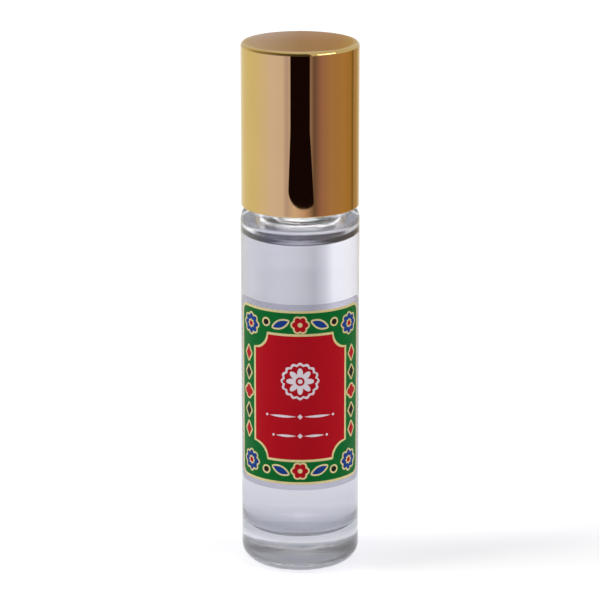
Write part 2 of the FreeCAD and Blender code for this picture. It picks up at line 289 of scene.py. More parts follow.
def run(start, end):
    """Points inside a straight run of a profile, close to its ends, so that a round's shading stays on it."""
    start, end = np.array(start), np.array(end)
    share = SUPPORT / np.linalg.norm(end - start)
    return start + np.array([[share], [0.5], [1 - share]]) * (end - start)


def lathe(profile, columns):
    """Rings of a turned shape: a profile point (r, z) goes round as (r cos a, r sin a, z)."""
    angle = np.linspace(0, 2 * np.pi, columns, endpoint=False)
    radius, height = profile[:, :1], profile[:, 1:]
    return np.stack(np.broadcast_arrays(radius * np.cos(angle), radius * np.sin(angle), height), axis=-1)


def closed_shape(rings):
    """Points, quads and end triangles of a tube of rings whose first and last ring are one point each."""
    count, columns = len(rings) - 2, rings.shape[1]
    points = np.concatenate([rings[0, :1], rings[1:-1].reshape(-1, 3), rings[-1, :1]])
    ring = 1 + np.arange(count * columns).reshape(count, columns)
    ahead = np.roll(ring, -1, axis=1)
    first, last = np.zeros(columns, int), np.full(columns, count * columns + 1)
    quads = np.stack([ring[:-1], ahead[:-1], ahead[1:], ring[1:]], axis=-1).reshape(-1, 4)
    ends = np.concatenate([np.stack([first, ahead[0], ring[0]], axis=-1),
                           np.stack([last, ring[-1], ahead[-1]], axis=-1)])
    return points, quads, ends


def piece(name, shapes, finish, body, slot, *nodes):
    """One object from closed shapes, with its finish, the body it rides on and the nodes it replaces."""
    points, faces, start = [], [], 0
    for rings in shapes:
        own, quads, ends = closed_shape(rings)
        points.append(own)
        faces += (quads + start).tolist() + (ends + start).tolist()
        start += len(own)
    mesh = bpy.data.meshes.new(name)
    mesh.from_pydata(np.concatenate(points), [], faces)
    mesh.shade_smooth()
    mesh.set_sharp_from_angle(angle=SHARP_ANGLE)
    mesh.materials.append(finish)
    made = bpy.data.objects.new(name, mesh)
    bpy.context.scene.collection.objects.link(made)
    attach(made, body)
    if nodes:
        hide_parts(*nodes)
    return made


def glass_profile(glass):
    """Profile of the glass from the middle of the push-up, up the outside, over the rim and to the floor."""
    foot = glass.body_radius - glass.heel_round
    hollow = foot - glass.foot_ring
    dome = (hollow ** 2 + glass.push_up ** 2) / (2 * glass.push_up)
    across = np.linspace(0, hollow, ARC_STEPS)
    under = np.column_stack([across, glass.push_up - dome + np.sqrt(dome ** 2 - across ** 2)])
    shoulder = glass.body_height - glass.shoulder_round
    fillet = glass.neck_radius + glass.neck_fillet
    rim = glass.rim_height - glass.rim_round
    neck = np.arange(glass.body_height + glass.neck_fillet, rim, THREAD_STEP)
    ceiling = glass.body_height - glass.shoulder_wall
    throat = glass.bore_radius + glass.throat_round
    vault = glass.cavity_radius - throat
    corner = glass.floor_round
    return np.concatenate([
        under,
        run((hollow, 0), (foot, 0)),
        arc(foot, glass.heel_round, glass.heel_round, -90, 0),
        run((glass.body_radius, glass.heel_round), (glass.body_radius, shoulder)),
        arc(glass.body_radius - glass.shoulder_round, shoulder, glass.shoulder_round, 0, 90),
        run((glass.body_radius - glass.shoulder_round, glass.body_height), (fillet, glass.body_height)),
        arc(fillet, glass.body_height + glass.neck_fillet, glass.neck_fillet, 270, 180)[:-1],
        np.column_stack([np.full_like(neck, glass.neck_radius), neck]),
        arc(glass.neck_radius - glass.rim_round, rim, glass.rim_round, 0, 90),
        arc(glass.bore_radius + glass.rim_round, rim, glass.rim_round, 90, 180),
        run((glass.bore_radius, rim), (glass.bore_radius, ceiling + glass.throat_round)),
        arc(throat, ceiling + glass.throat_round, glass.throat_round, 180, 270),
        arc(throat, ceiling - vault, vault, 90, 0)[1:],
        run((glass.cavity_radius, ceiling - vault), (glass.cavity_radius, glass.floor_height + corner)),
        arc(glass.cavity_radius - corner, glass.floor_height + corner, corner, 0, -90),
        run((glass.cavity_radius - corner, glass.floor_height), (0, glass.floor_height)),
        [[0, glass.floor_height]]])


def thread_ridge(glass, angle, height):
    """Height of the screw ridge over the neck at an angle and a height.

    The ridge follows z = start + lead t, with t in turns from 0 to its end. It falls off with the distance
    from that line, from full inside the crest's half-width to nothing at the base's half-width, so its ends
    are round.
    """
    turn = (angle / (2 * np.pi))[..., None] + np.arange(-1, math.ceil(glass.thread_turns) + 1)
    nearest = np.clip(turn, 0, glass.thread_turns)
    along = (turn - nearest) * 2 * np.pi * glass.neck_radius
    above = height[..., None] - (glass.body_height + glass.thread_start + glass.thread_lead * nearest)
    away = np.hypot(along, above).min(axis=-1)
    flank = (glass.thread_base - glass.thread_crest) / 2
    share = np.clip((glass.thread_base / 2 - away) / flank, 0, 1)
    return glass.thread_height * share * share * (3 - 2 * share)


def glass_rings(glass):
    """The turned glass, with the screw ridge added to the outside of its neck."""
    profile = glass_profile(glass)
    rings = lathe(profile, GLASS_COLUMNS)
    angle = np.arctan2(rings[..., 1], rings[..., 0]) % (2 * np.pi)
    radius, height = profile.T
    outside = (radius > glass.neck_radius - glass.rim_round / 2) & (height > glass.body_height)
    swell = np.where(outside[:, None], thread_ridge(glass, angle, rings[..., 2]), 0)
    rings[..., 0] += swell * np.cos(angle)
    rings[..., 1] += swell * np.sin(angle)
    return rings


def oil_rings(glass, oil):
    """The fill: it follows the cavity, and its edge climbs the wall as a wetting liquid does.

    With k the liquid's capillary length and h = sqrt(2) k the climb at the wall, the surface at a height y
    over its flat level lies k (arcosh(2k/y) - arcosh(2k/h)) - sqrt(4k^2 - y^2) + sqrt(4k^2 - h^2) from the
    wall. It ends where it counts as flat, or near the axis.
    """
    wall = glass.cavity_radius + oil.overlap
    floor = glass.floor_height - oil.overlap
    corner = glass.floor_round + oil.overlap
    reach = oil.rise / math.sqrt(2)
    climb = oil.rise * np.linspace(1, MENISCUS_END, MENISCUS_STEPS)
    away = reach * np.arccosh(2 * reach / climb) - np.sqrt(4 * reach ** 2 - climb ** 2)
    edge = np.column_stack([wall - (away - away[0]), oil.level + climb])
    edge = edge[edge[:, 0] > 0.1 * wall]
    profile = np.concatenate([
        [[0, floor]], run((0, floor), (wall - corner, floor)),
        arc(wall - corner, floor + corner, corner, -90, 0),
        run((wall, floor + corner), edge[0]), edge, [[0, edge[-1, 1]]]])
    return lathe(profile, GLASS_COLUMNS)


def cap_rings(cap):
    """The drawn cup from the middle of its ceiling, down inside, over the rim and up to its crown's middle.

    The crown is a shallow ball segment: its height over the edge is c (1 - (r / R) ** 2).
    """
    rim = cap.bottom + cap.rim_round
    edge = cap.top - cap.edge_round
    flat = cap.radius - cap.edge_round
    across = flat * np.linspace(1, 0, ARC_STEPS)[1:]
    crown = np.column_stack([across, cap.top + cap.crown * (1 - (across / flat) ** 2)])
    return lathe(np.concatenate([
        [[0, cap.ceiling]], run((0, cap.ceiling), (cap.bore, cap.ceiling)),
        [[cap.bore, cap.ceiling]], run((cap.bore, cap.ceiling), (cap.bore, cap.bottom)),
        [[cap.bore, cap.bottom]],
        arc(cap.radius - cap.rim_round, rim, cap.rim_round, -90, 0),
        run((cap.radius, rim), (cap.radius, edge)),
        arc(flat, edge, cap.edge_round, 0, 90), crown]), CAP_COLUMNS)


# Label ornaments, as outlines round their own middle

def rectangle(width, height, corner, hollow=False):
    """Outline of a rectangle with round corners, or with hollow ones round its corner points."""
    sweep = np.linspace(0, np.pi / 2, ARC_STEPS)
    across, up = width / 2, height / 2
    if hollow:
        quarter = np.column_stack([across - corner * np.sin(sweep), up - corner * np.cos(sweep)])
    else:
        quarter = np.column_stack([across + corner * (np.cos(sweep) - 1), up + corner * (np.sin(sweep) - 1)])
    left = quarter[::-1] * [-1, 1]
    return np.concatenate([quarter, left, -quarter, -left])


def oval(width, height, power=2.0):
    """Outline with |2u / width| ** power + |2v / height| ** power = 1: an ellipse at 2, a lozenge at 1."""
    turn = np.linspace(0, 2 * np.pi, OUTLINE_POINTS, endpoint=False)
    across, up = np.cos(turn), np.sin(turn)
    return np.column_stack([width / 2 * np.sign(across) * np.abs(across) ** (2 / power),
                            height / 2 * np.sign(up) * np.abs(up) ** (2 / power)])


def rosette(radius, petals, depth):
    """Outline with radius r (1 - depth + depth |cos(petals a / 2)|): round petals that meet in notches."""
    turn = np.linspace(0, 2 * np.pi, 2 * OUTLINE_POINTS, endpoint=False)
    reach = radius * (1 - depth + depth * np.abs(np.cos(petals * turn / 2)))
    return np.column_stack([reach * np.cos(turn), reach * np.sin(turn)])


def leaf(across, breadth):
    """Outline of a leaf with two points: u = l/2 cos a, v = b/2 sin a |sin a|."""
    turn = np.linspace(0, 2 * np.pi, OUTLINE_POINTS, endpoint=False)
    return np.column_stack([across / 2 * np.cos(turn), breadth / 2 * np.sin(turn) * np.abs(np.sin(turn))])


def even(outline, count):
    """The closed outline with its points evenly spaced."""
    closed = np.concatenate([outline, outline[:1]])
    travelled = np.concatenate([[0], np.cumsum(np.hypot(*np.diff(closed, axis=0).T))])
    wanted = np.linspace(0, travelled[-1], count, endpoint=False)
    return np.column_stack([np.interp(wanted, travelled, part) for part in closed.T])


def grown(outline, by):
    """The outline moved outwards along its normals."""
    ahead = np.roll(outline, -1, axis=0) - np.roll(outline, 1, axis=0)
    normal = np.column_stack([ahead[:, 1], -ahead[:, 0]])
    return outline + by * normal / np.linalg.norm(normal, axis=1, keepdims=True)


def turned(outline, degrees):
    """The outline turned round its middle."""
    cosine, sine = math.cos(math.radians(degrees)), math.sin(math.radians(degrees))
    return outline @ np.array([[cosine, sine], [-sine, cosine]])


def slab(label, outline, middle, low, high, rows):
    """Rings of a thin slab on the glass between two heights over the film.

    A ring is the outline times a share from 0 to 1 and back, and (u, v) is wrapped as
    (r sin(u / R), -r cos(u / R), v), with R the film's radius and r that radius plus the height.
    """
    share = np.linspace(0, 1, rows)
    share = np.concatenate([share, share[::-1]])[:, None, None]
    radius = label.radius + np.repeat([low, high], rows)[:, None]
    across, up = np.moveaxis(share * outline + middle, -1, 0)
    angle = across / label.radius
    return np.stack([radius * np.sin(angle), -radius * np.cos(angle), label.middle + up], axis=-1)


class Print:
    """Collects the label's printed shapes by colour."""

    def __init__(self, label):
        self.label = label
        self.shapes = {}

    def lay(self, ink, layer, outline, middle=(0.0, 0.0)):
        """Adds one printed shape in a layer, counted up from the film."""
        large = np.ptp(outline, axis=0).max() > LARGE_PRINT
        top = self.label.ink_step * (layer + 1)
        rows, count = FILM_GRID if large else PRINT_GRID
        rings = slab(self.label, even(outline, count), np.array(middle), top - self.label.ink, top, rows)
        self.shapes.setdefault(ink, []).append(rings)

    def rimmed(self, ink, outline, middle):
        """Adds an ornament with a gold line round it."""
        outline = even(outline, PRINT_GRID[1])
        self.lay("gold_ink", 3, grown(outline, self.label.gold_edge * GOLD_RIM), middle)
        self.lay(ink, 4, outline, middle)


def label_print(label):
    """The generic ornament of the label, as rings of printed shapes by ink."""
    press = Print(label)
    width, height = label.width - 2 * label.margin, label.height - 2 * label.margin
    edge = label.gold_edge
    panel = width - 2 * edge, height - 2 * edge
    press.lay("white_ink", 0, rectangle(*panel, label.corner - edge))
    press.lay("gold_ink", 1, rectangle(width, height, label.corner))
    press.lay("green_ink", 2, rectangle(*panel, label.corner - edge))
    field = label.field_width, label.field_height
    rim = field[0] + 2 * edge, field[1] + 2 * edge
    press.lay("gold_ink", 3, rectangle(*rim, label.field_scoop + SCOOP_GROWTH * edge, True))
    press.lay("red_ink", 4, rectangle(*field, label.field_scoop, True))
    border_ornaments(press, panel, field)
    field_ornaments(press)
    return press.shapes


def border_ornaments(press, panel, field):
    """Rosettes in the corners, lozenges down the sides, leaves and dots above and below the field."""
    side = (panel[0] + field[0]) / 4
    end = (panel[1] + field[1]) / 4
    for right in (-1, 1):
        press.rimmed("red_ink", rosette(1.1 * MM, 4, 0.3), (right * side, 0))
        for up in (-1, 1):
            corner = right * (side - CORNER_INSET), up * (end - CORNER_INSET)
            press.rimmed("blue_ink", rosette(1.75 * MM, 8, 0.28), corner)
            press.lay("gold_ink", 5, rosette(0.8 * MM, 8, 0.35), corner)
            press.lay("red_ink", 6, oval(0.85 * MM, 0.85 * MM), corner)
            press.rimmed("black_ink", oval(1.5 * MM, 2.3 * MM, 0.95), (right * side, up * SIDE_STEP))
            press.rimmed("red_ink", oval(1.5 * MM, 2.5 * MM, 0.95), (right * side, up * 2 * SIDE_STEP))
            slanted = turned(leaf(2.9 * MM, 1.1 * MM), -LEAF_TILT * right * up)
            press.rimmed("blue_ink", slanted, (right * LEAF_OFFSET, up * end))
            press.rimmed("black_ink", oval(1.0 * MM, 1.0 * MM), (right * DOT_OFFSET, up * (end + DOT_LIFT)))
    for up in (-1, 1):
        press.rimmed("red_ink", rosette(1.35 * MM, 6, 0.25), (0, up * end))
        press.lay("gold_ink", 5, oval(0.8 * MM, 0.8 * MM), (0, up * end))


def field_ornaments(press):
    """A pale medallion and two dividers in the red field."""
    medallion = 0, MEDALLION_RISE
    press.lay("pale_ink", 5, rosette(3.3 * MM, 16, 0.12), medallion)
    press.lay("red_ink", 6, rosette(2.85 * MM, 16, 0.12), medallion)
    press.lay("pale_ink", 7, rosette(2.35 * MM, 8, 0.5), medallion)
    press.lay("red_ink", 8, oval(1.5 * MM, 1.5 * MM), medallion)
    press.lay("pale_ink", 9, oval(0.8 * MM, 0.8 * MM), medallion)
    for drop, reach in DIVIDERS:
        press.lay("pale_ink", 5, oval(0.9 * MM, 0.9 * MM, 1.0), (0, -drop))
        for right in (-1, 1):
            press.lay("pale_ink", 5, leaf(reach, 0.42 * MM), (right * (reach / 2 + 0.7 * MM), -drop))
            press.lay("pale_ink", 5, oval(0.42 * MM, 0.42 * MM), (right * (reach + 1.2 * MM), -drop))


# Finishes

def add(tree, kind, inputs=None, **settings):
    """Adds a node with its settings. An input is a value, an output, or a node, for its first output."""
    made = tree.nodes.new(kind)
    for name, value in settings.items():
        setattr(made, name, value)
    for name, value in (inputs or {}).items():
        if isinstance(value, bpy.types.Node):
            value = value.outputs[0]
        if isinstance(value, bpy.types.NodeSocket):
            tree.links.new(value, made.inputs[name])
        else:
            made.inputs[name].default_value = value
    return made


def new_finish(name):
    """An empty material, its tree, and the Object coordinates that its patterns lie on."""
    finish = bpy.data.materials.new(name)
    finish.use_nodes = True
    finish.node_tree.nodes.clear()
    return finish, finish.node_tree, add(finish.node_tree, "ShaderNodeTexCoord").outputs["Object"]


def clear_finish(tree, shader, shade):
    """Ends a clear material: lamps and light from matt surfaces go straight through it, a little shaded."""
    path = add(tree, "ShaderNodeLightPath")
    straight = add(tree, "ShaderNodeMath", operation="MAXIMUM", inputs={
        0: path.outputs["Is Shadow Ray"], 1: path.outputs["Is Diffuse Ray"]})
    clear = add(tree, "ShaderNodeBsdfTransparent", {"Color": (*shade, 1.0)})
    mixed = add(tree, "ShaderNodeMixShader", {0: straight, 1: shader, 2: clear})
    add(tree, "ShaderNodeOutputMaterial", {"Surface": mixed})


def moulded_glass(tint, glass):
    """Soda-lime glass, moulded and fire polished: clear, with slow waves from the mould and a stippled foot.

    Inside, above the fill, a thin mist of oil on the wall softens what is seen through it.
    """
    finish, tree, place = new_finish("moulded_soda_lime_glass")
    waves = add(tree, "ShaderNodeTexNoise", {"Vector": place, "Scale": 1 / (7 * MM), "Detail": 1.0})
    level = add(tree, "ShaderNodeMapRange", {"Value": waves, **NOISE_SPAN, "To Min": 0.98})
    height = add(tree, "ShaderNodeSeparateXYZ", {"Vector": place}).outputs["Z"]
    stipple = add(tree, "ShaderNodeMapRange", {
        "Value": height, "From Min": STIPPLE_RISE[0], "From Max": STIPPLE_RISE[1],
        "To Min": STIPPLE, "To Max": 0.0})
    flat = add(tree, "ShaderNodeVectorMath", {0: place, 1: (1.0, 1.0, 0.0)}, operation="MULTIPLY")
    radius = add(tree, "ShaderNodeVectorMath", {0: flat}, operation="LENGTH").outputs["Value"]
    wall, top = glass.cavity_radius, glass.body_height
    inside = add(tree, "ShaderNodeMapRange", {
        "Value": radius, "From Min": wall + MIST_DEPTH[0], "From Max": wall + MIST_DEPTH[1],
        "To Min": MIST, "To Max": 0.0})
    over = add(tree, "ShaderNodeMapRange", {
        "Value": height, "From Min": top - MIST_FOOT[0], "From Max": top - MIST_FOOT[1]})
    under = add(tree, "ShaderNodeMapRange", {
        "Value": height, "From Min": top - MIST_HEAD[0], "From Max": top - MIST_HEAD[1],
        "To Min": 1.0, "To Max": 0.0})
    headspace = add(tree, "ShaderNodeMath", {0: over, 1: under}, operation="MULTIPLY")
    mist = add(tree, "ShaderNodeMath", {0: headspace, 1: inside}, operation="MULTIPLY")
    rough = add(tree, "ShaderNodeMath", {0: mist, 1: stipple}, operation="ADD")
    shader = add(tree, "ShaderNodeBsdfPrincipled", {
        "Base Color": add(tree, "ShaderNodeHueSaturation", {"Color": (*tint, 1.0), "Value": level}),
        "Roughness": rough, "IOR": 1.52, "Transmission Weight": 1.0,
        "Normal": add(tree, "ShaderNodeBump", {"Height": waves, "Distance": 0.02 * MM})})
    clear_finish(tree, shader, [GLASS_SHADE * part for part in tint])
    return finish


def clear_oil(tint):
    """Fragrance oil: a clear liquid that bends light a little less than glass, with faint unmixed streaks."""
    finish, tree, place = new_finish("clear_fragrance_oil")
    streaks = add(tree, "ShaderNodeTexNoise", {"Vector": place, "Scale": 1 / (12 * MM), "Detail": 1.0})
    level = add(tree, "ShaderNodeMapRange", {"Value": streaks, **NOISE_SPAN, "To Min": 0.98})
    shader = add(tree, "ShaderNodeBsdfPrincipled", {
        "Base Color": add(tree, "ShaderNodeHueSaturation", {"Color": (*tint, 1.0), "Value": level}),
        "Roughness": 0.0, "IOR": 1.46, "Transmission Weight": 1.0})
    clear_finish(tree, shader, tint)
    return finish


def anodised_gold(tint):
    """Aluminium, deep drawn, polished and gold anodised: a warm mirror with faint upright drawing marks."""
    finish, tree, place = new_finish("gold_anodised_drawn_aluminium")
    upright = add(tree, "ShaderNodeMapping", {"Vector": place, "Scale": (1.0, 1.0, 0.02)})
    marks = add(tree, "ShaderNodeTexNoise", {"Vector": upright, "Scale": 1 / (0.6 * MM), "Detail": 3.0})
    clouds = add(tree, "ShaderNodeTexNoise", {"Vector": place, "Scale": 1 / (9 * MM)})
    level = add(tree, "ShaderNodeMapRange", {"Value": clouds, **NOISE_SPAN, "To Min": 0.96})
    gloss = add(tree, "ShaderNodeMapRange", {"Value": marks, **NOISE_SPAN,
                                             "To Min": 0.008, "To Max": 0.024})
    shader = add(tree, "ShaderNodeBsdfPrincipled", {
        "Base Color": add(tree, "ShaderNodeHueSaturation", {"Color": (*tint, 1.0), "Value": level}),
        "Metallic": 1.0, "Roughness": gloss,
        "Normal": add(tree, "ShaderNodeBump", {"Height": marks, "Distance": 0.0002 * MM})})
    add(tree, "ShaderNodeOutputMaterial", {"Surface": shader})
    return finish


def label_film(tint):
    """Clear polypropylene film on its adhesive: light passes through it softened and a little greyed."""
    finish, tree, place = new_finish("clear_polypropylene_film")
    haze = add(tree, "ShaderNodeTexNoise", {"Vector": place, "Scale": 1 / (0.8 * MM)})
    level = add(tree, "ShaderNodeMapRange", {"Value": haze, **NOISE_SPAN, "To Min": 0.97})
    gloss = add(tree, "ShaderNodeMapRange", {"Value": haze, **NOISE_SPAN,
                                             "To Min": 0.16, "To Max": 0.22})
    shader = add(tree, "ShaderNodeBsdfPrincipled", {
        "Base Color": add(tree, "ShaderNodeHueSaturation", {"Color": (*tint, 1.0), "Value": level}),
        "Roughness": gloss, "IOR": 1.49, "Transmission Weight": 1.0})
    clear_finish(tree, shader, FILM_SHADE)
    return finish


def printed_ink(name, tint):
    """Flexographic ink under varnish: a solid colour with a fine mottle and an even half gloss."""
    finish, tree, place = new_finish("printed_" + name)
    mottle = add(tree, "ShaderNodeTexNoise", {"Vector": place, "Scale": 1 / (0.3 * MM), "Detail": 3.0})
    level = add(tree, "ShaderNodeMapRange", {"Value": mottle, **NOISE_SPAN,
                                             "To Min": 0.94, "To Max": 1.05})
    gloss = add(tree, "ShaderNodeMapRange", {"Value": mottle, **NOISE_SPAN,
                                             "To Min": 0.3, "To Max": 0.38})
    shader = add(tree, "ShaderNodeBsdfPrincipled", {
        "Base Color": add(tree, "ShaderNodeHueSaturation", {"Color": (*tint, 1.0), "Value": level}),
        "Roughness": gloss, "Specular IOR Level": 0.06,
        "Normal": add(tree, "ShaderNodeBump", {"Height": mottle, "Distance": 0.001 * MM})})
    add(tree, "ShaderNodeOutputMaterial", {"Surface": shader})
    return finish


def metallic_ink(tint):
    """Gold ink: fine metal flakes in varnish, which glint unevenly and stay pale from most sides."""
    finish, tree, place = new_finish("printed_gold_flake_ink")
    flakes = add(tree, "ShaderNodeTexVoronoi", {"Vector": place, "Scale": 1 / (0.16 * MM)}).outputs["Color"]
    share = add(tree, "ShaderNodeSeparateColor", {"Color": flakes})
    level = add(tree, "ShaderNodeMapRange", {"Value": share, "To Min": 0.84, "To Max": 1.08})
    gloss = add(tree, "ShaderNodeMapRange", {"Value": share, "To Min": 0.34, "To Max": 0.46})
    shader = add(tree, "ShaderNodeBsdfPrincipled", {
        "Base Color": add(tree, "ShaderNodeHueSaturation", {"Color": (*tint, 1.0), "Value": level}),
        "Metallic": 0.5, "Roughness": gloss})
    add(tree, "ShaderNodeOutputMaterial", {"Surface": shader})
    return finish


def moulded_polymer(name, tint, roughness, through):
    """Injection-moulded polyolefin: waxy white with soft light inside it and the fine grain of the mould."""
    finish, tree, place = new_finish(name)
    grain = add(tree, "ShaderNodeTexNoise", {"Vector": place, "Scale": 1 / (0.25 * MM), "Detail": 3.0})
    flow = add(tree, "ShaderNodeTexNoise", {"Vector": place, "Scale": 1 / (4 * MM)})
    level = add(tree, "ShaderNodeMapRange", {"Value": flow, **NOISE_SPAN, "To Min": 0.95})
    gloss = add(tree, "ShaderNodeMapRange", {"Value": grain, **NOISE_SPAN,
                                             "To Min": roughness - 0.05, "To Max": roughness + 0.05})
    shader = add(tree, "ShaderNodeBsdfPrincipled", {
        "Base Color": add(tree, "ShaderNodeHueSaturation", {"Color": (*tint, 1.0), "Value": level}),
        "Roughness": gloss, "Subsurface Weight": through, "Subsurface Radius": (1.0, 0.95, 0.9),
        "Subsurface Scale": 0.6 * MM,
        "Normal": add(tree, "ShaderNodeBump", {"Height": grain, "Distance": 0.004 * MM})})
    add(tree, "ShaderNodeOutputMaterial", {"Surface": shader})
    return finish


def polished_steel(tint):
    """Stainless steel, ground and lapped to a ball: a cool mirror with a faint uneven film of oil."""
    finish, tree, place = new_finish("lapped_stainless_steel")
    smear = add(tree, "ShaderNodeTexNoise", {"Vector": place, "Scale": 1 / (1.6 * MM), "Detail": 4.0})
    level = add(tree, "ShaderNodeMapRange", {"Value": smear, **NOISE_SPAN, "To Min": 0.96})
    gloss = add(tree, "ShaderNodeMapRange", {"Value": smear, **NOISE_SPAN,
                                             "To Min": 0.04, "To Max": 0.1})
    shader = add(tree, "ShaderNodeBsdfPrincipled", {
        "Base Color": add(tree, "ShaderNodeHueSaturation", {"Color": (*tint, 1.0), "Value": level}),
        "Metallic": 1.0, "Roughness": gloss})
    add(tree, "ShaderNodeOutputMaterial", {"Surface": shader})
    return finish


def foamed_pad(tint):
    """Foamed polyethylene, die cut: matt white with small closed cells."""
    finish, tree, place = new_finish("die_cut_foamed_polyethylene")
    cells = add(tree, "ShaderNodeTexVoronoi", {"Vector": place, "Scale": 1 / (0.35 * MM)})
    level = add(tree, "ShaderNodeMapRange", {"Value": cells, "To Min": 1.0, "To Max": 0.85})
    shader = add(tree, "ShaderNodeBsdfPrincipled", {
        "Base Color": add(tree, "ShaderNodeHueSaturation", {"Color": (*tint, 1.0), "Value": level}),
        "Roughness": 0.8, "Normal": add(tree, "ShaderNodeBump", {"Height": cells, "Distance": 0.03 * MM})})
    add(tree, "ShaderNodeOutputMaterial", {"Surface": shader})
    return finish


def dress(node, finish):
    """Gives a packed node a finish in place of its plain one."""
    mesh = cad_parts[node].data
    mesh.materials.clear()
    mesh.materials.append(finish)


# Stage

def seen_share(tree):
    """A node that is 1 for what camera, metal and glass see, and 0 for light on matt surfaces."""
    path = add(tree, "ShaderNodeLightPath")
    mirrored = add(tree, "ShaderNodeMath", operation="MAXIMUM", inputs={
        0: path.outputs["Is Camera Ray"], 1: path.outputs["Is Glossy Ray"]})
    return add(tree, "ShaderNodeMath", operation="MAXIMUM", inputs={
        0: mirrored, 1: path.outputs["Is Transmission Ray"]})


def studio_floor(tint, lift):
    """Painted board: matt white, with its own light for camera, metal and glass, so that its shadow stays."""
    finish, tree, place = new_finish("painted_board")
    paint = add(tree, "ShaderNodeTexNoise", {"Vector": place, "Scale": 1 / (40 * MM)})
    level = add(tree, "ShaderNodeMapRange", {"Value": paint, **NOISE_SPAN, "To Min": 0.99})
    glow = add(tree, "ShaderNodeMath", {0: seen_share(tree), 1: lift}, operation="MULTIPLY")
    shader = add(tree, "ShaderNodeBsdfPrincipled", {
        "Base Color": add(tree, "ShaderNodeHueSaturation", {"Color": (*tint, 1.0), "Value": level}),
        "Roughness": 0.9, "Specular IOR Level": 0.0,
        "Emission Color": (1.0, 1.0, 1.0, 1.0), "Emission Strength": glow})
    add(tree, "ShaderNodeOutputMaterial", {"Surface": shader})
    return finish


def open_sheet(name, points, finish):
    """A stage object from a grid of points, one face to each cell."""
    rows, columns = points.shape[:2]
    number = np.arange(rows * columns).reshape(rows, columns)
    faces = np.stack([number[:-1, :-1], number[:-1, 1:], number[1:, 1:], number[1:, :-1]], axis=-1)
    mesh = bpy.data.meshes.new(name)
    mesh.from_pydata(points.reshape(-1, 3), [], faces.reshape(-1, 4).tolist())
    mesh.materials.append(finish)
    made = bpy.data.objects.new(name, mesh)
    bpy.context.scene.collection.objects.link(made)
    return made


def card(name, points, glow, through=False):
    """A studio card with its own light, coloured by point, that paints reflections and shade: metal mirrors
    it, or it shows through glass.
    """
    finish, tree = new_finish(name)[:2]
    tint = add(tree, "ShaderNodeAttribute", attribute_name="glow").outputs["Color"]
    add(tree, "ShaderNodeOutputMaterial", {"Surface": add(tree, "ShaderNodeEmission", {"Color": tint})})
    made = open_sheet(name, points, finish)
    shades = made.data.attributes.new("glow", "FLOAT_COLOR", "POINT")
    opaque = np.concatenate([np.broadcast_to(glow, points.shape), np.ones_like(points[..., :1])], axis=-1)
    shades.data.foreach_set("color", opaque.astype(np.float32).ravel())
    made.visible_camera = False
    made.visible_diffuse = False
    made.visible_shadow = False
    made.visible_glossy = not through
    made.visible_transmission = through


def blended(at, stops):
    """Colours between stops of (place, red, green, blue)."""
    stops = np.array(stops)
    return np.stack([np.interp(at, stops[:, 0], stops[:, part]) for part in (1, 2, 3)], axis=-1)


def around(radius, azimuth, height):
    """Points round the bottle's axis: (r sin a, -r cos a, h), with the azimuth a in degrees."""
    side = np.radians(azimuth)
    return np.stack(np.broadcast_arrays(radius * np.sin(side), -radius * np.cos(side), height), axis=-1)


def dark_card():
    """Black card in front, wider and round at its near end, that paints a dark reflection: the cap mirrors it
    as an upright dark strip.

    Its edges open from the middle as sqrt(1 - (1 - s) ** 2), with s the way through the round.
    """
    share, radius = np.meshgrid(np.linspace(0, 1, 25), DARK_NEAR + DARK_LENGTH * np.linspace(0, 1, 81) ** 3)
    edges = []
    for depth, radii, azimuths in DARK_EDGES:
        opening = np.sqrt(1 - (1 - np.clip((radius - DARK_NEAR) / depth, 0, 1)) ** 2)
        edges.append(DARK_MIDDLE + opening * (np.interp(radius, radii, azimuths) - DARK_MIDDLE))
    left, right = edges
    card("dark_card", around(radius, left + share * (right - left), DARK_HEIGHT), DARK_GLOW)


def reflection_ring_card():
    """Ring of card on the floor: white behind and left, then mauve, dark in front and brown on the right.

    It fades to white inwards. Its own light paints the cap's reflections: a light left side, a dark middle
    and a brown right side in painted shade.
    """
    radii = np.array([0.05, 0.12, 0.18, 0.24, 0.5, 1.4])
    radius, azimuth = np.meshgrid(radii, np.linspace(-180, 180, 289), indexing="ij")
    share = np.interp(radius, radii[:4], (0, 0.2, 0.65, 1))[..., None]
    glow = 1 + share * (blended(azimuth, REFLECTION_RING_BY_AZIMUTH) - 1)
    card("reflection_ring_card", around(radius, azimuth, CARD_HEIGHT), glow)


def back_card():
    """Upright brown card behind, whose own light paints the reflection in the cap's top."""
    across, rise = np.meshgrid(np.linspace(-0.6, 0.6, 241), np.array([0.2, 0.27, 0.34, 0.44]))
    points = np.stack([across, np.full_like(across, BACK_DISTANCE), rise], axis=-1)
    card("back_card", points, blended(across, BACK_ACROSS) * blended(rise, BACK_UPWARDS))


def shade_card():
    """Grey card that arches from behind over the bottle, whose own light paints shade for the thick glass of
    base and shoulder to show.
    """
    across, elevation = np.meshgrid(np.linspace(-2, 2, 9), np.linspace(1, 150, 31))
    arch = np.radians(elevation)
    points = np.stack([across, ARCH_RADIUS * np.cos(arch), ARCH_RADIUS * np.sin(arch)], axis=-1)
    level = np.interp(elevation, (1, 25, 60, 150), (0.34, 0.27, 0.46, 0.68))
    card("shade_card", points, level[..., None] * np.array(ARCH_TINT), True)


